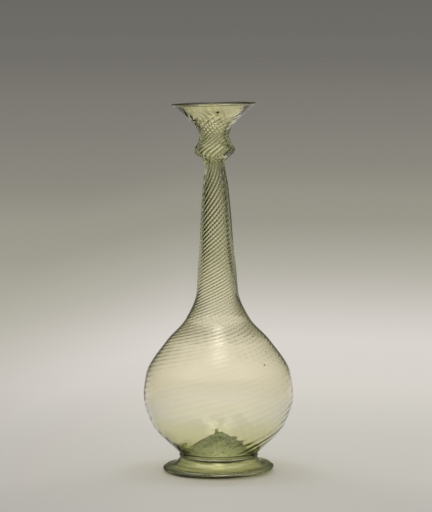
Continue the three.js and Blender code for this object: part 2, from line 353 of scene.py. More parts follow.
class GatherTree(GrowTree):
    """Turns a section into a ribbed, hand-made body of glass."""

    NAME = "gather"
    INPUTS = {
        "Section": ("Geometry", None), "Columns": ("Int", 180), "Rings": ("Int", 100), "Ribs": ("Int", 20),
        "Hand swell": ("Float", 0.0), "Hand ripple": ("Float", 0.0), "Streak": ("Float", 0.0), "Warp": ("Float", 0.0),
        "Lean": ("Float", 0.0), "Lean power": ("Float", 1.7), "Lean foot": ("Float", 0.0), "Lean top": ("Float", 1.0),
        "Seed": ("Float", 0.0), "Finish": ("Material", None),
    }
    SWELL_SCALE, RIPPLE_SCALE, TILT_SCALE = 22.0, 130.0, 14.0
    STREAK_SCALE, STREAK_WAY = 650.0, 1.3
    MERGE_DISTANCE = 0.002 * MM

    def _sampled(self, name: str, row: Figure) -> list[Figure]:
        """Reads what the section holds for a ring.

        Args:
            name: the attribute's name.
            row: the ring's number.

        Returns:
            Its three numbers.
        """
        attribute = self.sheet.add("GeometryNodeInputNamedAttribute", {"data_type": "FLOAT_VECTOR"}, Name=name)
        sample = self.sheet.add(
            "GeometryNodeSampleIndex", {"data_type": "FLOAT_VECTOR", "domain": "POINT"}, Geometry=self.entry["Section"],
            Value=attribute.outputs["Attribute"], Index=row,
        )
        return self.sheet.split(sample.outputs["Value"])

    def _noise(self, place: Node, scale: float, shift: Operand) -> Figure:
        """Seeded noise about zero.

        Args:
            place: where it is read.
            scale: swells for each metre.
            shift: what is added to the seed.

        Returns:
            The noise, from about -0.5 to 0.5.
        """
        settings, seed = {"noise_dimensions": "4D"}, self.entry["Seed"] + shift
        noise = self.sheet.add("ShaderNodeTexNoise", settings, Vector=place, W=seed, Scale=scale, Detail=1.0)
        return Figure(self.sheet, noise.outputs[0]) - 0.5

    def _lay_out(self) -> Node:
        """Adds the nodes for grid, section, ribs, hand, warp, lean and merge, and returns the last."""
        add, given = self.sheet.add, self.entry
        grid = add(
            "GeometryNodeMeshGrid", Vertices_X=given["Columns"] + 1, Vertices_Y=given["Rings"], Size_X=1.0, Size_Y=1.0
        )
        index = Figure(self.sheet, add("GeometryNodeInputIndex").outputs[0])
        column = ((index + 0.5) / given["Rings"]).of("FLOOR")
        row = index - column * given["Rings"]
        radius, height, relief = self._sampled("spot", row)
        turn, phase, hand = self._sampled("spin", row)
        out, up, loose = self._sampled("away", row)
        angle = column * TURN / given["Columns"] + turn
        rise = relief * ((angle - phase) * given["Ribs"]).of("COSINE")
        radius, height = radius + rise * out, height + rise * up
        across, deep = angle.of("COSINE"), angle.of("SINE")
        plain = add("ShaderNodeCombineXYZ", X=radius * across, Y=radius * deep, Z=height)
        swell = self._noise(plain, self.SWELL_SCALE, 0.0) * given["Hand swell"]
        ripple = self._noise(plain, self.RIPPLE_SCALE, 7.0) * given["Hand ripple"]
        drawn = add(
            "ShaderNodeCombineXYZ", X=radius * self.STREAK_SCALE, Y=height * self.STREAK_SCALE,
            Z=across * self.STREAK_WAY,
        )
        streak = self._noise(drawn, 1.0, deep * self.STREAK_WAY) * given["Streak"]
        push = (swell + ripple + streak) * hand
        loosest = 0.5 + 0.5 * across + 0.4 * across * deep.at_least(0.0)
        tilt = loosest + 0.3 * self._noise(plain, self.TILT_SCALE, 3.0)
        warp = given["Warp"] * loose * tilt.at_least(0.0)
        radius, height = radius + push, height + warp
        span = given["Lean top"] - given["Lean foot"]
        share = ((height - given["Lean foot"]) / span).at_least(0.0)
        shift = given["Lean"] * share ** given["Lean power"]
        tip = given["Lean"] * given["Lean power"] / span * share ** (given["Lean power"] - 1.0)
        east = radius * across
        place = add("ShaderNodeCombineXYZ", X=east - shift, Y=radius * deep, Z=height + tip * east)
        moved = add("GeometryNodeSetPosition", Geometry=grid.outputs["Mesh"], Position=place)
        merged = add("GeometryNodeMergeByDistance", Geometry=moved, Distance=self.MERGE_DISTANCE)
        return add("GeometryNodeSetShadeSmooth", Geometry=merged)

    def blow(self, name: str, rings: Sequence[Ring], glass: "GlassFinish", **inputs: float) -> Object:
        """Makes one body of glass from its section.

        Args:
            name: the piece's name.
            rings: the section, in order, with the glass on the left hand of its way.
            glass: the piece's finish.
            **inputs: the tree's other inputs by name, with underscores for spaces.

        Returns:
            The finished piece, a plain mesh at the origin.
        """
        finish = glass.make()
        section = bpy.data.meshes.new(name + "_section")
        section.from_pydata([(ring.radius * MM, 0, ring.height * MM) for ring in rings], [], [])
        vectors: dict[str, Callable[[Ring], Row]] = {
            "spot": lambda ring: (ring.radius * MM, ring.height * MM, ring.relief * MM),
            "spin": lambda ring: (ring.turn, ring.phase, ring.hand),
            "away": lambda ring: (ring.out, ring.up, max(0.0, ring.hand - 1)),
        }
        for key, read in vectors.items():
            layer = section.attributes.new(key, "FLOAT_VECTOR", "POINT")
            layer.data.foreach_set("vector", [number for ring in rings for number in read(ring)])
        return self.grow(name, section, {"Rings": len(rings), "Finish": finish, **inputs})


class SpeckTree(GrowTree):
    """Sets a small round speck on each point."""

    NAME = "specks"
    INPUTS = {
        "Points": ("Geometry", None), "Fineness": ("Int", 2), "Stretch": ("Float", 1.1), "Finish": ("Material", None),
    }

    def _lay_out(self) -> Node:
        """Adds the nodes for ball, size and placing, and returns the last."""
        add = self.sheet.add
        ball = add("GeometryNodeMeshIcoSphere", Radius=1.0, Subdivisions=self.entry["Fineness"])
        smooth = add("GeometryNodeSetShadeSmooth", Geometry=ball)
        width = add("GeometryNodeInputNamedAttribute", {"data_type": "FLOAT"}, Name="width").outputs["Attribute"]
        across = self.entry["Stretch"] * Figure(self.sheet, width)
        size = add("ShaderNodeCombineXYZ", X=across, Y=across, Z=width)
        return add("GeometryNodeInstanceOnPoints", Points=self.entry["Points"], Instance=smooth, Scale=size)


@dataclass(frozen=True)
class PaintedBand:
    """A band round a body of glass where its skin is painted another colour, in millimetres: near-black for painted
    shade, or pale with more coat for a painted highlight.
    """

    colour: Colour
    level: float
    half: float
    soft: float
    lean: Pair = (0.0, 0.0)
    wobble: float = 0.0
    # coat weight inside the band; a high coat makes a painted highlight brighter
    coat: float = 0.0
    wobble_scale: float = 110.0

    def share(self, sheet: NodeSheet, place: NodeSocket) -> Figure:
        """How far the band covers a place on the body.

        Args:
            sheet: the material's sheet.
            place: the place, in metres.

        Returns:
            The band's share, from 0 to 1.
        """
        x, y, height = sheet.split(place)
        level = height - x * self.lean[0] - y * self.lean[1]
        if self.wobble:
            noise = sheet.add("ShaderNodeTexNoise", Vector=place, Scale=self.wobble_scale, Detail=1.0)
            level = level + (Figure(sheet, noise.outputs[0]) - 0.5) * (self.wobble * MM)
        away = (level - self.level * MM).of("ABSOLUTE")
        return ((self.half * MM - away) / (self.soft * MM)).clamped()


@dataclass(frozen=True)
class GlassFinish:
    """Clear coloured glass: a smooth skin, a colour that deepens with thickness, and painted bands of shade or
    highlight on its skin.
    """

    name: str
    skin: Colour
    loss_per_mm: Colour
    skin_roughness: float = 0.0
    ior: float = 1.5
    skins: Sequence[tuple[float, Colour]] = ()
    core_skin: Optional[Colour] = None
    glint: Colour = (1.0, 0.97, 0.84)
    core_roughness: float = 0.13
    core_radius: float = 23.2
    core_height: float = 30.0
    core_soft: Pair = (1.2, 2.0)
    painted_bands: Sequence[PaintedBand] = ()
    coat: float = 0.0
    coat_ior: float = 1.5
    shade: float = 0.9

    def make(self) -> Material:
        """Builds the material.

        Returns:
            A material whose volume takes each colour away by the millimetre.
        """
        material = bpy.data.materials.new(self.name)
        sheet = NodeSheet.blank(material)
        clear = sheet.add(
            "ShaderNodeBsdfPrincipled", Roughness=self.skin_roughness, IOR=self.ior, Specular_Tint=(*self.glint, 1),
            Transmission_Weight=1.0, Coat_IOR=self.coat_ior,
        )
        place = sheet.add("ShaderNodeTexCoord").outputs["Object"]
        x, y, height = sheet.split(place)
        tint: Any = (*self.skin, 1)
        if self.skins:
            tall = self.skins[-1][0]
            tint = sheet.ramp(height / (tall * MM), [(at / tall, colour) for at, colour in self.skins])
        coat: Operand = self.coat
        # painted shade and painted highlights: each band sets its own skin colour, and its own coat weight where the
        # glass has a coat
        for painted_band in self.painted_bands:
            share = painted_band.share(sheet, place)
            tint = sheet.blend(share, tint, (*painted_band.colour, 1))
            if self.coat:
                coat = (1 - share) * coat + share * painted_band.coat
        sheet.fill(clear.inputs["Coat Weight"], coat)
        if self.core_skin:
            inward = (self.core_radius * MM - (x * x + y * y) ** 0.5) / (self.core_soft[0] * MM)
            below = (self.core_height * MM - height) / (self.core_soft[1] * MM)
            core = inward.at_most(below).clamped()
            tint = sheet.blend(core, tint, (*self.core_skin, 1))
            sheet.fill(clear.inputs["Roughness"], core * self.core_roughness)
        sheet.fill(clear.inputs["Base Color"], tint)
        passed = sheet.add("ShaderNodeBsdfTransparent", Color=(*(self.shade * part for part in self.skin), 1))
        path = sheet.add("ShaderNodeLightPath")
        skin = sheet.add("ShaderNodeMixShader", in0=path.outputs[Ray.SHADOW.value], in1=clear, in2=passed)
        strongest = max(self.loss_per_mm)
        left = (*(1 - part / strongest for part in self.loss_per_mm), 1)
        body = sheet.add("ShaderNodeVolumeAbsorption", Color=left, Density=strongest / MM)
        sheet.add("ShaderNodeOutputMaterial", Surface=skin, Volume=body)
        return material


@dataclass(frozen=True)
class SpeckFinish:
    """A stone or a bit of ash caught in the glass."""

    name: str
    colour: Colour
    roughness: float = 0.35

    def make(self) -> Material:
        """Builds the plain, dark material."""
        material = bpy.data.materials.new(self.name)
        sheet = NodeSheet.blank(material)
        dull = sheet.add("ShaderNodeBsdfPrincipled", Base_Color=(*self.colour, 1), Roughness=self.roughness)
        sheet.add("ShaderNodeOutputMaterial", Surface=dull)
        return material


def attach(piece: Object, node: Optional[str] = None) -> None:
    """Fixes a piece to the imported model.

    Args:
        piece: the finished piece.
        node: the plain solid that the piece takes the place of, if any.
    """
    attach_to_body(piece, "root")
    if node:
        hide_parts(node)
    log.info("%s: %d faces", piece.name, len(piece.data.polygons))


@dataclass
class Vessel:
    """The blown gather: bulb, kick, neck, collar and mouth, with twisted ribs from its mould."""

    gather: GatherTree
    ribs: int = 20
    inside_ribs: Pair = (108.0, 124.0)
    joint_height: float = 11.0
    bottle_height: float = 250.0
    mouth_radius: float = 28.4
    lip_wall: float = 1.5
    lip_shares: Row = (0.35, 0.65, 0.85)
    lean: float = 3.5
    lean_power: float = 1.7
    kick_radius: float = 21.6
    kick_height: float = 14.4
    kick_wall: float = 2.3
    kick_relief: float = 0.05
    kick_turn: float = -3.0
    kick_folds: float = 0.42
    underside_folds: float = 0.3
    underside_ribs: float = 0.35
    kick_knee: Pair = (10.4, 4.8)
    kick_rings: int = 37
    fold_span: float = 2.7
    kick_drops: Pairs = (
        (0.0, 0.05), (2.3, 0.2), (3.1, 1.3), (4.0, 2.3), (5.8, 3.0), (8.0, 4.8), (10.5, 6.1), (13.0, 7.4), (15.5, 9.0),
        (18.0, 10.9), (20.3, 13.2),
    )
    heel_thickness: float = 3.1
    heel_drop: float = 1.3
    floor_round: float = 1.3
    walk_step: float = 0.02
    row_span: float = 2.1
    row_turn: float = math.radians(7.2)
    plain_span: float = 2.2
    any_turn: float = 1e9
    stations: Pairs = (
        (0, 24.8), (22, 45.3), (19, 50.9), (14.5, 49.0), (22.5, 34.9), (14.5, 21.8), (18.5, 14.0), (15, 12.9),
        (12.5, 11.6), (45, 8.4), (13.0, 6.5), (2.6, 7.0), (2.6, 9.2), (2.3, 12.0), (1.7, 13.3), (1.6, 13.55),
        (1.7, 12.9), (2.4, 11.2), (5.0, 9.7), (9, 14.6), (4.4, 19.5), (7.7, 28.4),
    )
    walls: Pairs = (
        (11, 2.4), (18, 1.55), (30, 1.15), (52, 1.0), (89, 1.1), (104, 1.45), (122, 2.0), (150, 2.1), (185, 1.95),
        (205, 2.1), (219, 2.5), (228, 2.7), (238, 2.1), (247, 1.25),
    )
    reliefs: Pairs = (
        (11, 0.09), (22, 0.06), (34, 0.024), (52, 0.02), (66, 0.018), (89, 0.02), (104, 0.019), (114, 0.042),
        (124, 0.118), (145, 0.245), (170, 0.24), (208, 0.2), (219, 0.25), (228, 0.2), (236, 0.08), (242, 0.012),
        (247, 0.0),
    )
    rib_angles: Pairs = (
        (11, 36), (52, 14), (89, 11.5), (103.5, 18), (122, 25.5), (137, 30), (149.5, 36), (194.5, 62), (208.3, 77),
        (219, 35), (228, 40), (237, 34), (249, 34),
    )

    def __post_init__(self) -> None:
        """Works out the curves that the section follows."""
        self.pitch = TURN / self.ribs
        slope = self.lean * self.lean_power / (self.bottle_height - self.joint_height)
        self.lip_height = self.bottle_height - self.lip_wall / 2 - slope * self.mouth_radius
        whole = sum(rise for rise, _ in self.stations)
        climbed, points = 0.0, []
        for rise, radius in self.stations:
            climbed += rise
            points.append((self.joint_height + (self.lip_height - self.joint_height) * climbed / whole, radius))
        self.outer = FairCurve(points)
        self.wall = FairCurve(self.walls)
        self.relief = FairCurve(self.reliefs)
        self.angle = FairCurve(self.rib_angles)
        self.trough_height = self.joint_height - self.heel_drop + self.heel_thickness
        self.floor_height = self.trough_height + self.floor_round
        self.tip_height = self.trough_height + self.kick_height
        self.kick_top = FairCurve(
            [(radius, self.tip_height - drop) for radius, drop in self.kick_drops]
            + [(self.kick_radius, self.trough_height)]
        )
        knee_radius, knee_drop = self.kick_knee
        self.kick_slope = math.hypot(1, (self.kick_height - knee_drop) / (self.kick_radius - knee_radius))

    def slope(self, height: float) -> float:
        """How fast the outer radius grows with height."""
        return (self.outer(height + 0.05) - self.outer(height - 0.05)) / 0.1

    def twist_rate(self, height: float) -> float:
        """Turn of the ribs in radians for each millimetre of height."""
        return 1 / (self.outer(height) * math.tan(math.radians(self.angle(height))))

    def inner(self, height: float) -> float:
        """Radius of the inside at a height."""
        return self.outer(height) - self.wall(height) * math.hypot(1, self.slope(height))

    def _walk(self, span: float, turn: float) -> list[Pair]:
        """Heights for the rings, close where the outline bends or the ribs turn fast.

        Args:
            span: the longest way along the wall between two rings.
            turn: the most that the ribs may turn between two rings.

        Returns:
            Height and turn of each ring, from the joint to just under the lip.
        """
        step, height, phase, due = self.walk_step, self.joint_height, 0.0, 0.0
        found = [(height, phase)]
        while height < self.lip_height - self.lip_wall:
            rate = self.twist_rate(height + step / 2)
            due += step * (math.hypot(1, self.slope(height)) / span + rate / turn)
            phase += rate * step
            height += step
            if due >= 1:
                found.append((height, phase))
                due -= 1
        return found

    def _kick(self, upper: bool) -> list[Ring]:
        """Rings of the kick, from its tip outwards.

        Args:
            upper: whether it is the inside of the vessel's floor, and not its underside.

        Returns:
            The rings, ribbed and turned like the twist in the gather.
        """
        rings = []
        for i in range(self.kick_rings):
            radius = self.kick_radius * i / (self.kick_rings - 1)
            folded = min(1.0, max(0.0, (radius - 7) / 3), (self.kick_radius - radius) / 3)
            folded *= self.kick_folds * (1.0 if upper else self.underside_folds)
            top = self.kick_top(radius) + folded * math.sin(TURN * radius / self.fold_span)
            height = top if upper else top - self.kick_wall * self.kick_slope
            relief = self.kick_relief * min(1.0, radius / 8, (self.kick_radius - radius) / 2.5)
            relief *= 1.0 if upper else self.underside_ribs
            turn = self.kick_turn * (1 - radius / self.kick_radius)
            rings.append(Ring(radius, height, relief, turn, turn, 0.0, 1.0, 0.0))
        return rings

    def _outside_share(self, height: float) -> float:
        """How much of the ribs' relief is on the outside at a height; the rest is on the inside."""
        low, high = self.inside_ribs
        t = min(1.0, max(0.0, (height - low) / (high - low)))
        return t * t * (3 - 2 * t)

    def _ring(self, radius: float, height: float, share: float, turn: float, phase: float, side: int) -> Ring:
        """A ring of the wall.

        Args:
            radius: the wall's radius there.
            height: its height.
            share: the part of the ribs' relief that it carries.
            turn: the turn of its columns.
            phase: the turn of its ribs.
            side: 1 on the outside, -1 on the inside.

        Returns:
            The ring, its relief square to the wall.
        """
        slope = self.slope(height)
        steep = math.hypot(1, slope)
        calm = min(1.0, (height - self.joint_height) / 12)
        relief = self.relief(height) * share
        return Ring(radius, height, relief, turn, phase, side / steep, -side * slope / steep, calm)

    def _outside(self, rows: Pairs, whole: float) -> list[Ring]:
        """Rings of the outside wall, from the joint up to the lip.

        Args:
            rows: height and turn of the ribs' rows.
            whole: the turn that the columns leave out.

        Returns:
            Plain rings on the bulb, and ribbed ones from the shoulder up.
        """
        low = self.inside_ribs[0] - 2
        ribbed = [(height, phase - whole) for height, phase in rows if height > low]
        start, base = ribbed[0][1], round(ribbed[0][1] / self.pitch) * self.pitch
        plain = [height for height, _ in self._walk(self.plain_span, self.any_turn) if height < low]
        turns = [base + (start - base) * (height - plain[0]) / (low - plain[0]) for height in plain]
        rings = [self._ring(self.outer(h), h, 0.0, turn, turn, 1) for h, turn in zip(plain, turns)]
        rings += [self._ring(self.outer(h), h, self._outside_share(h), turn, turn, 1) for h, turn in ribbed]
        return rings

    def _inside(self, rows: Pairs, lip_turn: float) -> list[Ring]:
        """Rings of the inside wall, from the floor up to the lip.

        Args:
            rows: height and turn of the ribs' rows.
            lip_turn: the turn at the lip.

        Returns:
            Ribbed rings on the bulb, and plain ones above the shoulder.
        """
        floor, high = self.floor_height, self.inside_ribs[1]
        ribbed = [(height, phase) for height, phase in rows if floor < height < high]
        whole = round((ribbed[-1][1] - lip_turn) / self.pitch) * self.pitch
        ribbed = [(height, phase - whole) for height, phase in ribbed]
        skew = round(ribbed[0][1] / self.pitch) * self.pitch - ribbed[0][1]
        rings = []
        for height, phase in ribbed:
            turn = phase + skew * max(0.0, 1 - (height - floor) / 12)
            share = (1 - self._outside_share(height)) * min(1.0, (height - floor) / 4)
            rings.append(self._ring(self.inner(height), height, share, turn, phase, -1))
        top, end = ribbed[-1][1], self.lip_height - self.lip_wall
        for height in (h for h, _ in self._walk(self.plain_span, self.any_turn) if high < h < end):
            turn = top + (lip_turn - top) * (height - high) / (self.lip_height - high)
            rings.append(self._ring(self.inner(height), height, 0.0, turn, turn, -1))
        return rings

    def _lip(self, last: Ring, radius: float, turn: float, share: float) -> Ring:
        """A plain ring on the straight way from the wall's last ring to the round of the lip.

        Args:
            last: the wall's last ring.
            radius: where the round begins.
            turn: the turn at the lip.
            share: how far along the way the ring is.

        Returns:
            The ring.
        """
        across, rise = (radius - last.radius) * share, (self.lip_height - last.height) * share
        way = last.turn + (turn - last.turn) * share
        return last._replace(radius=last.radius + across, height=last.height + rise, relief=0.0, turn=way, phase=way)

    def section(self) -> list[Ring]:
        """The whole section.

        Returns:
            Rings from the tip of the kick's underside, up the outside, over the lip and down the inside.
        """
        heel_radius, heel_height = self.kick_radius + self.heel_drop, self.joint_height - self.heel_drop
        rows = self._walk(self.row_span, self.row_turn)
        lip_phase = rows[-1][1] + self.twist_rate(self.lip_height) * self.lip_wall
        whole = math.floor(lip_phase / self.pitch) * self.pitch
        outside, lip_turn = self._outside(rows, whole), lip_phase - whole
        base = outside[0].turn
        rings = [ring._replace(turn=ring.turn + base) for ring in self._kick(upper=False)]
        drop = rings[-1].height
        for i in range(1, 4):
            t = i / 4 * math.pi / 2
            radius = self.kick_radius + (heel_radius - self.kick_radius) * math.sin(t)
            rings.append(Ring(radius, drop + (heel_height - drop) * (1 - math.cos(t)), 0, base, base, hand=0.0))
        rings.append(Ring(heel_radius, heel_height, 0, base, base, hand=0.0))
        rings.append(Ring((outside[0].radius + heel_radius) / 2, heel_height + 0.35, 0, base, base, hand=0.0))
        rings += outside
        rings += [self._lip(outside[-1], self.mouth_radius, lip_turn, share) for share in self.lip_shares]
        round_radius = self.lip_wall / 2
        for i in range(9):
            t = math.pi * i / 8
            radius = self.mouth_radius - round_radius + round_radius * math.cos(t)
            rings.append(Ring(radius, self.lip_height + round_radius * math.sin(t), 0, lip_turn, lip_turn))
        floor, inside = self.floor_height, self._inside(rows, lip_turn)
        edge = self.mouth_radius - self.lip_wall
        rings += [self._lip(inside[-1], edge, lip_turn, share) for share in reversed(self.lip_shares)]
        rings.extend(reversed(inside))
        edge, base = self.inner(floor), inside[0].turn
        for i in range(5):
            t = i / 4 * math.pi / 2
            radius = edge - (edge - self.kick_radius - 0.6) * math.sin(t) * 0.8
            height = self.trough_height + (floor - self.trough_height) * (1 - math.sin(t))
            rings.append(Ring(radius, height, 0, base, base, hand=0.0))
        rings.extend(ring._replace(turn=ring.turn + base) for ring in reversed(self._kick(upper=True)))
        return rings

    def build(self, glass: GlassFinish) -> Object:
        """Blows the vessel from a finish and returns the piece."""
        piece = self.gather.blow(
            "bottle_vessel", self.section(), glass, Ribs=self.ribs, Hand_swell=0.5 * MM, Hand_ripple=0.04 * MM,
            Lean=self.lean * MM, Lean_power=self.lean_power, Lean_foot=self.joint_height * MM,
            Lean_top=self.bottle_height * MM, Seed=2.0,
        )
        attach(piece, "vessel")
        return piece


@dataclass
class Foot:
    """The second gather, drawn out under the bulb into a splayed ring with a rolled hem."""

    gather: GatherTree
    bead_radius: float = 26.8
    bead_height: float = 11.75
    hem_radius: float = 37.6
    bore_radius: float = 20.9
    tool_lines: float = 0.085
    tool_waves: float = 5.1
    tooled_corners: tuple[int, int] = (17, 25)
    free_radii: Pair = (27.5, 34.5)
    held_height: float = 11.0
    smooth_steps: int = 7

    def outline(self) -> list[Pair]:
        """Radius and height of the section's corners, once round with the glass on the left hand."""
        bead = self.bead_radius
        corners = [
            (24.9, 10.42), (25.4, 11.0), (25.85, 11.5), (bead - 0.5, self.bead_height), (bead - 0.05, 11.5),
            (bead + 0.05, 11.05), (bead - 0.2, 10.65), (bead - 1.05, 10.2), (bead - 0.95, 9.75),
            (bead + 0.1, 8.8), (bead + 1.1, 7.3), (29.2, 6.0), (31.0, 4.95), (33.0, 4.3), (34.8, 3.9),
            (self.hem_radius - 1.4, 3.55), (self.hem_radius - 0.4, 2.8), (self.hem_radius, 1.8),
            (self.hem_radius - 0.25, 1.0), (self.hem_radius - 1.0, 0.35), (35.3, 0.02), (34.6, 0.5),
            (33.6, 1.5), (31.6, 2.2), (29.4, 3.2), (27.4, 4.7), (25.9, 6.4), (24.8, 8.0), (23.4, 8.7),
            (21.8, 8.85), (self.bore_radius, 9.1), (self.bore_radius + 0.1, 9.35), (22.6, 9.5), (23.8, 9.75),
        ]
        return corners[::-1]

    def section(self) -> list[Ring]:
        """A smooth closed loop through the corners.

        Returns:
            Rings once round, the last on the first.
        """
        corners = self.outline()
        count = len(corners)
        (first, last), (tight, loose) = self.tooled_corners, self.free_radii
        rings = []
        for i in range(count):
            around = zip(*(corners[(i + k) % count] for k in (-1, 0, 1, 2)))
            ways = [(2 * b, c - a, 2 * a - 5 * b + 4 * c - d, 3 * b - a - 3 * c + d) for a, b, c, d in around]
            for k in range(self.smooth_steps):
                t = k / self.smooth_steps
                radius, height = (0.5 * (a + b * t + c * t * t + d * t**3) for a, b, c, d in ways)
                line = self.tool_lines * math.sin(radius * self.tool_waves) if first <= i <= last else 0.0
                free = min(1.0, max(0.0, (radius - tight) / (loose - tight)))
                calm = min(1.0, max(0.3, (self.held_height - height) / 3))
                rings.append(Ring(radius, max(0.0, height + line), hand=calm + free))
        return rings + rings[:1]

    def build(self, glass: GlassFinish) -> Object:
        """Forms the foot from a finish and returns the piece."""
        piece = self.gather.blow(
            "bottle_foot", self.section(), glass, Hand_swell=0.35 * MM, Hand_ripple=0.16 * MM, Streak=0.95 * MM,
            Warp=1.2 * MM, Seed=5.0,
        )
        attach(piece, "foot")
        return piece


@dataclass
class PontilScar:
    """The rough button of glass under the tip of the kick, where the working rod was knocked off."""

    gather: GatherTree
    vessel: Vessel
    radius: float = 6.4
    thickness: float = 1.5
    clearance: float = 0.85
    roughness: float = 0.25
    rough_waves: float = 9
    columns: int = 60
    steps: int = 12

    def crown(self, radius: float) -> float:
        """Height of the scar's top, a little below the underside of the kick."""
        return self.vessel.kick_top(radius) - self.vessel.kick_wall * self.vessel.kick_slope - self.clearance

    def section(self) -> list[Ring]:
        """Rings from the middle of the broken face, round the edge, to the crown."""
        floor = self.crown(self.radius) - self.thickness
        shares = [i / self.steps for i in range(self.steps + 1)]
        broken = [floor + self.roughness * math.sin(self.rough_waves * s) for s in shares]
        below = [Ring(self.radius * s, height, hand=3.0 * s) for s, height in zip(shares, broken)]
        above = [Ring(self.radius * s, self.crown(self.radius * s), hand=0.0) for s in reversed(shares)]
        return below + above

    def build(self, glass: GlassFinish) -> Object:
        """Forms the scar from a finish and returns the piece."""
        piece = self.gather.blow(
            "bottle_pontil_scar", self.section(), glass, Columns=self.columns, Hand_ripple=0.3 * MM, Warp=0.6 * MM,
            Seed=9.0,
        )
        attach(piece, "pontil_scar")
        return piece


@dataclass
class Specks:
    """Bits of ash and stone in the vessel's wall: some at listed places, the rest strewn.

    Each is found by degrees round the bottle, height and size.
    """

    vessel: Vessel
    tree: SpeckTree
    found: Sequence[Row] = (
        (-83.0, 244.0, 1.0), (-34.0, 84.0, 0.42), (-45.9, 76.4, 0.55), (-163.0, 243.5, 0.6), (-158.0, 241.0, 0.5),
        (-166.0, 238.0, 0.55), (-170.0, 235.0, 0.45), (-145.0, 61.0, 0.3), (-150.0, 50.5, 0.26), (-42.0, 26.5, 0.3),
        (-108.0, 24.5, 0.22),
    )
    strewn: int = 60
    strewn_heights: Pair = (20, 100)
    strewn_sizes: Pair = (0.06, 0.17)
    seed: int = 11

    def build(self, finish: SpeckFinish) -> Object:
        """Sets the specks in the wall.

        Args:
            finish: what they are made of.

        Returns:
            The finished piece.
        """
        chance, vessel = random.Random(self.seed), self.vessel
        spots = list(self.found)
        for _ in range(self.strewn):
            spots.append(tuple(chance.uniform(*ends) for ends in ((-180, 180), self.strewn_heights, self.strewn_sizes)))
        points = []
        for degrees, height, _ in spots:
            radius, angle = vessel.outer(height) - vessel.wall(height) * 0.5, math.radians(degrees)
            share = max(0.0, (height - vessel.joint_height) / (vessel.bottle_height - vessel.joint_height))
            east = radius * math.cos(angle) - vessel.lean * share**vessel.lean_power
            points.append((east * MM, radius * math.sin(angle) * MM, height * MM))
        seedbed = bpy.data.meshes.new("speck_points")
        seedbed.from_pydata(points, [], [])
        sizes = [size * MM for _, _, size in spots]
        seedbed.attributes.new("width", "FLOAT", "POINT").data.foreach_set("value", sizes)
        piece = self.tree.grow("bottle_specks", seedbed, {"Finish": finish.make()})
        attach(piece)
        return piece


@dataclass(frozen=True)
class Flag:
    """A black card beside the view, in metres along the camera's own axes."""

    name: str
    side: Side
    gap: float
    near: float
    far: float
    low: float
    high: float
    mirrored: bool = False


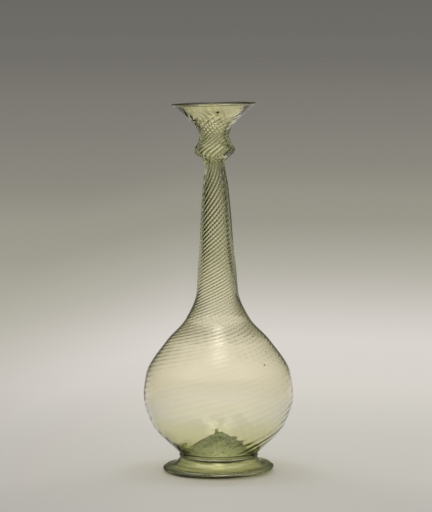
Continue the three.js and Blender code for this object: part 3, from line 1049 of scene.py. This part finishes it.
@dataclass
class Studio:
    """The set: a pale floor with painted shade close round the bottle and towards the left, and a painted fall-off of
    light that darkens it with distance, a dark room, two soft lamps and four black flags.
    """

    camera_distance: float = 1571.0
    camera_height: float = 291.0
    camera_side: float = -1.83
    pitch: float = math.radians(5.261)
    lens: float = 164.4
    lamp_place: Row = (0.55, 0.3, 2.2)
    lamp_aim: Row = (0.0, 0.1, 0.1)
    lamp_size: float = 0.6
    lamp_watts: float = 11.0
    floor_reach: float = 40.0
    floor_glow: float = 0.2
    # painted shade: how fast the floor darkens towards the left of the bottle
    painted_left_shade: float = 3.5
    left_round: float = 0.0009
    left_start: float = 0.045
    left_edge: float = 0.2
    near_depth: float = 0.15
    far_fold: float = 2.0
    peak: float = 0.708
    room_light: float = 0.65
    sheen: float = 1.7
    sheen_soft: float = 0.6
    sheen_levels: Pairs = (
        (-90.0, 0.2), (0.0, 0.3), (9.0, 0.36), (20.0, 0.52), (34.0, 0.85), (55.0, 0.95), (68.0, 0.85), (80.0, 0.5),
        (90.0, 0.35),
    )
    patch_width: float = 0.19
    patch_length: float = 0.19
    patch_centre: float = -0.2
    patch_glow: float = 4.0
    patch_tone: Colour = (1.0, 0.96, 0.95)
    flags: Sequence[Flag] = (
        Flag("neck_left", Side.LEFT, 0.05, 1.545, 1.59, -0.012, 0.1),
        Flag("neck_far_left", Side.LEFT, 0.05, 1.59, 1.757, 0.0, 0.058, True),
        Flag("neck_right", Side.RIGHT, 0.05, 1.577, 1.622, -0.012, 0.1),
        Flag("bulb_left", Side.LEFT, 0.12, 1.73, 1.92, -0.12, -0.072),
    )
    flag_bends: float = 6.5
    flag_tone: Colour = (0.004, 0.004, 0.004)
    # painted shade: shares of the floor's tone by distance from the bottle in metres, lowest close round it
    painted_shade_shares: Pairs = (
        (0.0, 0.61), (0.21, 0.645), (0.25, 0.665), (0.3, 0.71), (0.38, 0.728), (0.455, 0.75), (0.58, 0.82),
        (0.7, 0.905), (0.85, 0.96), (1.02, 1.0), (1.5, 1.0),
    )
    # painted fall-off of light: level and tint of the floor by distance in metres, darkening far off
    painted_falloff_tones: Sequence[tuple[float, float, Colour]] = (
        (0.0, 0.98, (1.055, 1.022, 0.932)), (0.4, 0.89, (1.056, 1.014, 0.932)), (0.55, 0.86, (1.056, 1.003, 0.941)),
        (0.7, 0.845, (1.056, 1.003, 0.941)), (0.9, 0.775, (1.06, 1.008, 0.932)), (1.14, 0.68, (1.065, 1.015, 0.92)),
        (1.43, 0.583, (1.075, 1.03, 0.895)), (1.8, 0.52, (1.08, 1.035, 0.885)), (2.25, 0.463, (1.085, 1.04, 0.875)),
        (2.9, 0.462, (1.088, 1.037, 0.875)), (3.7, 0.412, (1.082, 1.033, 0.885)), (5.0, 0.39, (1.075, 1.028, 0.897)),
        (7.0, 0.36, (1.072, 1.024, 0.904)), (10.8, 0.333, (1.068, 1.024, 0.908)), (30.0, 0.283, (1.066, 1.02, 0.914)),
        (57.0, 0.262, (1.06, 1.02, 0.92)),
    )
    room_tones: Sequence[tuple[float, tuple[int, int, int]]] = (
        (0.0, (113, 111, 105)), (0.7, (109, 107, 101)), (1.3, (105, 104, 98)), (2.6, (94, 95, 82)),
        (5.0, (90, 92, 76)), (10.0, (100, 101, 83)), (22.0, (124, 124, 102)), (45.0, (130, 130, 108)),
        (70.0, (110, 110, 94)), (90.0, (60, 60, 56)),
    )

    @staticmethod
    def linear(tone: Sequence[int]) -> Colour:
        """A screen colour, 0 to 255, as linear light."""
        return tuple((v / 255 / 12.92 if v <= 10 else ((v / 255 + 0.055) / 1.055) ** 2.4) for v in tone)

    def _card(self, name: str, corners: Sequence[Row], material: Material) -> Object:
        """Adds a four-cornered sheet that isn't part of the bottle.

        Args:
            name: the sheet's name.
            corners: its corners in metres, in order.
            material: its material.

        Returns:
            The sheet.
        """
        mesh = bpy.data.meshes.new(name)
        mesh.from_pydata(corners, [], [(0, 1, 2, 3)])
        mesh.materials.append(material)
        card = placed(name, mesh)
        return card

    def _floor(self) -> None:
        """Lays the floor, whose tone goes by its distance from the bottle: painted shade close round it and towards its
        left, and a painted fall-off of light further away.
        """
        material = bpy.data.materials.new("studio_floor")
        sheet = NodeSheet.blank(material)
        x, y, _ = sheet.split(sheet.add("ShaderNodeTexCoord").outputs["Object"])
        # painted shade towards the left, and painted fall-off of light by distance
        leftward = ((x * x + self.left_round) ** 0.5 - x) * 0.5 - self.left_start
        beyond = y.at_least(0.0)
        away = (x * x + beyond * beyond) ** 0.5 + self.painted_left_shade * leftward.at_least(0.0).at_most(self.left_edge)
        deep = (y + self.near_depth).of("ABSOLUTE") + self.near_depth
        near = (x * x + deep * deep) ** 0.5
        last, fold = self.painted_shade_shares[-1][0], self.far_fold
        # painted shade close round the bottle
        painted_shade = sheet.ramp(near / last, [(at / last, (share,) * 3) for at, share in self.painted_shade_shares])
        stops = [(at / (at + fold), [share * part for part in tint]) for at, share, tint in self.painted_falloff_tones]
        mixed = sheet.blend(1.0, sheet.ramp(away / (away + fold), stops), painted_shade, "MULTIPLY")
        tone = sheet.add("ShaderNodeVectorMath", {"operation": "SCALE"}, in0=mixed, Scale=self.peak)
        bounces = Figure(sheet, sheet.add("ShaderNodeLightPath").outputs[Ray.DIFFUSE_DEPTH.value])
        seen = 1 - bounces.at_most(1.0)
        glow = sheet.add("ShaderNodeEmission", Color=tone, Strength=seen * self.floor_glow)
        matt = sheet.add("ShaderNodeBsdfDiffuse", Color=tone)
        part = sheet.add("ShaderNodeMixShader", in0=self.floor_glow, in1=matt)
        both = sheet.add("ShaderNodeAddShader", in0=part, in1=glow)
        sheet.add("ShaderNodeOutputMaterial", Surface=both)
        corners = [(self.floor_reach * x, self.floor_reach * y, 0) for x, y in ((-1, -1), (1, -1), (1, 1), (-1, 1))]
        self._card("studio_floor", corners, material)

    def _room(self) -> None:
        """Sets the room: dark where it is looked at, a plain even light where it lights matt surfaces."""
        world = bpy.context.scene.world = bpy.data.worlds.new("studio_room")
        sheet = NodeSheet.blank(world)
        aside, ahead, rise = sheet.split(sheet.add("ShaderNodeTexCoord").outputs["Generated"])
        stops = [(math.sin(math.radians(at)) ** 0.5, self.linear(tone)) for at, tone in self.room_tones]
        dark = sheet.add("ShaderNodeBackground", Color=sheet.ramp(rise.at_least(0.0) ** 0.5, stops))
        degrees = rise.of("ARCSINE") * (180 / math.pi)
        stops = [((at + 90) / 180, (level,) * 3) for at, level in self.sheen_levels]
        pale = sheet.add("ShaderNodeBackground", Color=sheet.ramp((degrees + 90) / 180, stops), Strength=self.sheen)
        level = (aside * aside + ahead * ahead + 1e-6) ** 0.5
        front = ((-ahead / level + self.sheen_soft) / (2 * self.sheen_soft)).clamped()
        shown = sheet.add("ShaderNodeMixShader", in0=front, in1=dark, in2=pale)
        wide, tall = aside / self.patch_width, (ahead - self.patch_centre) / self.patch_length
        patch = (-(wide * wide) - tall * tall).of("EXPONENT") * rise.above(0.0) * self.patch_glow
        lamp = sheet.add("ShaderNodeBackground", Color=(*self.patch_tone, 1), Strength=patch)
        shown = sheet.add("ShaderNodeAddShader", in0=shown, in1=lamp)
        lit = sheet.add("ShaderNodeBackground", Color=(1, 1, 1, 1), Strength=self.room_light)
        bounces = Figure(sheet, sheet.add("ShaderNodeLightPath").outputs[Ray.DIFFUSE_DEPTH.value])
        both = sheet.add("ShaderNodeMixShader", in0=bounces.at_most(1.0), in1=shown, in2=lit)
        sheet.add("ShaderNodeOutputWorld", Surface=both)

    def _lamp(self, side: Side) -> None:
        """Hangs a soft area lamp above and behind the bottle.

        Args:
            side: the side of the view that it hangs on.
        """
        light = bpy.data.lights.new("studio_lamp_" + side.name.lower(), "AREA")
        light.size, light.energy = self.lamp_size, self.lamp_watts
        lamp = placed(light.name, light)
        lamp.visible_glossy = lamp.visible_transmission = False
        lamp.location = (self.lamp_place[0] * side.value, *self.lamp_place[1:])
        lamp.rotation_euler = (Vector(self.lamp_aim) - lamp.location).to_track_quat("-Z", "Y").to_euler()

    def _flag(self, flag: Flag) -> None:
        """Fixes a black flag to the camera, where it darkens the glass's edges and nothing else.

        Args:
            flag: its place.
        """
        material = bpy.data.materials.new("studio_flag")
        sheet = NodeSheet.blank(material)
        black = sheet.add("ShaderNodeBsdfDiffuse", Color=(*self.flag_tone, 1))
        passed = sheet.add("ShaderNodeBsdfTransparent")
        bends = Figure(sheet, sheet.add("ShaderNodeLightPath").outputs[Ray.DEPTH.value])
        shown = sheet.add("ShaderNodeMixShader", in0=bends.above(self.flag_bends), in1=black, in2=passed)
        sheet.add("ShaderNodeOutputMaterial", Surface=shown)
        x = flag.gap * flag.side.value
        places = ((flag.low, flag.near), (flag.high, flag.near), (flag.high, flag.far), (flag.low, flag.far))
        card = self._card("studio_flag_" + flag.name, [(x, rise, -away) for rise, away in places], material)
        card.visible_camera = card.visible_diffuse = card.visible_shadow = False
        card.visible_glossy = flag.mirrored
        card.parent = bpy.context.scene.camera

    def build(self) -> None:
        """Sets the camera, the floor, the room, the lamps and the flags."""
        scene = bpy.context.scene
        scene.view_settings.view_transform = "Standard"
        scene.camera = eye = placed("studio_camera", bpy.data.cameras.new("studio_camera"))
        eye.data.lens, eye.data.sensor_width, eye.data.clip_end = self.lens, 36, 100
        eye.location = (self.camera_side * MM, -self.camera_distance * MM, self.camera_height * MM)
        eye.rotation_euler = (math.pi / 2 - self.pitch, 0, 0)
        self._floor()
        self._room()
        for side in Side:
            self._lamp(side)
        for flag in self.flags:
            self._flag(flag)
        log.info("studio: floor, room, two lamps and %d flags", len(self.flags))


VESSEL_GLASS = GlassFinish(
    "vessel_glass", skin=(1.0, 0.965, 0.862), loss_per_mm=(0.011, 0.006, 0.026), core_skin=(0.93, 1.0, 1.0),
    # painted shade: a near-black band over the top of the lip, deeper on the far side, for the dark line that the
    # rounded rim shows
    painted_bands=(PaintedBand((0.08, 0.07, 0.045), 252.5, 4.0, 0.4, (0.025, -0.02)),), shade=0.88,
    skins=(
        (12.0, (0.945, 0.94, 0.715)), (22.0, (0.94, 0.925, 0.705)), (31.0, (0.98, 0.96, 0.82)),
        (42.0, (1.0, 0.99, 0.965)), (52.0, (1.0, 0.962, 0.85)), (88.0, (1.0, 0.965, 0.858)),
        (108.0, (0.995, 0.962, 0.855)), (130.0, (0.98, 0.955, 0.82)), (155.0, (0.955, 0.935, 0.78)),
        (200.0, (0.87, 0.855, 0.69)), (225.0, (0.95, 0.93, 0.745)), (240.0, (0.98, 0.955, 0.76)),
        (250.0, (0.98, 0.955, 0.76)),
    ),
)
FOOT_GLASS = GlassFinish(
    "foot_glass", skin=(0.982, 0.994, 0.65), loss_per_mm=(0.012, 0.007, 0.03), glint=(1.0, 0.95, 0.5), coat=0.26,
    coat_ior=3.0, shade=0.76,
    painted_bands=(
        # painted shade: a near-black band round the bottom of the hem, taller at the front, for the dark contact line
        # under the foot
        PaintedBand((0.01, 0.01, 0.005), 0.3, 1.2, 0.2, (0.0, -0.03)),
        # painted shade: a dark band in the groove under the bead, for the shadow line along the seam
        PaintedBand((0.01, 0.01, 0.005), 11.97, 0.6, 0.12, (0.0, 0.07), 0.8),
        # painted highlight: a pale band with full coat on the bead, for the bright line along the seam
        PaintedBand((1.0, 1.0, 0.9), 13.0, 0.45, 0.15, (0.0, 0.07), 0.8, 1.0),
        # painted highlight: a pale band with more coat low on the flare, for a bright streak round the foot
        PaintedBand((1.0, 1.0, 0.75), 4.2, 0.26, 0.12, (0.0, 0.015), 1.0, 0.75),
    ),
)
SCAR_GLASS = GlassFinish("scar_glass", skin=(0.85, 0.9, 0.8), loss_per_mm=(0.07, 0.05, 0.12), skin_roughness=0.25)
ASH = SpeckFinish("ash_specks", colour=(0.03, 0.028, 0.012))


def main() -> None:
    """Builds the bottle's pieces in the order of making, then the set."""
    logging.basicConfig(level=logging.INFO, format="%(name)s: %(message)s")
    gather = GatherTree()
    vessel = Vessel(gather)
    vessel.build(VESSEL_GLASS)
    Foot(gather).build(FOOT_GLASS)
    PontilScar(gather, vessel).build(SCAR_GLASS)
    Specks(vessel, SpeckTree()).build(ASH)
    Studio().build()


if __name__ == "__main__":
    main()
